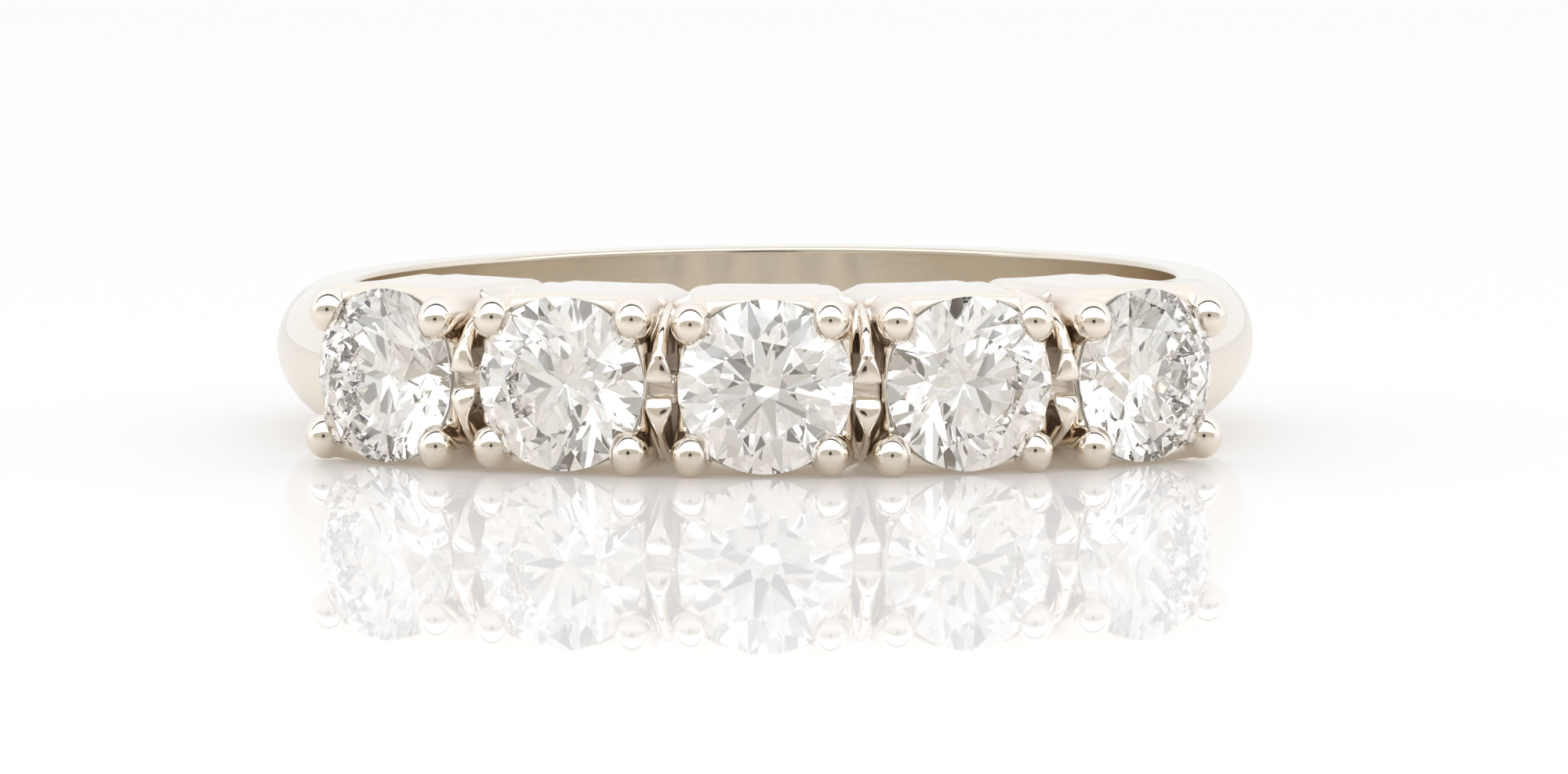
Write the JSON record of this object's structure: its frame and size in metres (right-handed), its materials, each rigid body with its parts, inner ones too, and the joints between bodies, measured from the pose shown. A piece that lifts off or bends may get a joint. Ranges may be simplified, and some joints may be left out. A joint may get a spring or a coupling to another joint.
{
  "type": "diamond band ring",
  "caption": "Half-round finger ring with a row of round brilliant stones in four-prong heads across its front, with small beaded spacers between the heads.",
  "frame": {"origin": "centre of the finger hole, at the middle of the ring's width", "axes": "+Z along the finger axis, up as the ring lies on its side; -Y towards the middle stone; +X to the right seen from the stones"},
  "size_m": [0.0202, 0.0226, 0.0036],
  "materials": {
    "white_gold": "polished",
    "diamond": "polished, faceted"
  },
  "bodies": {
    "root": {"band": "white_gold", "stone_1": "diamond", "stone_2": "diamond", "stone_3": "diamond", "stone_4": "diamond", "stone_5": "diamond"}
  },
  "joints": []
}
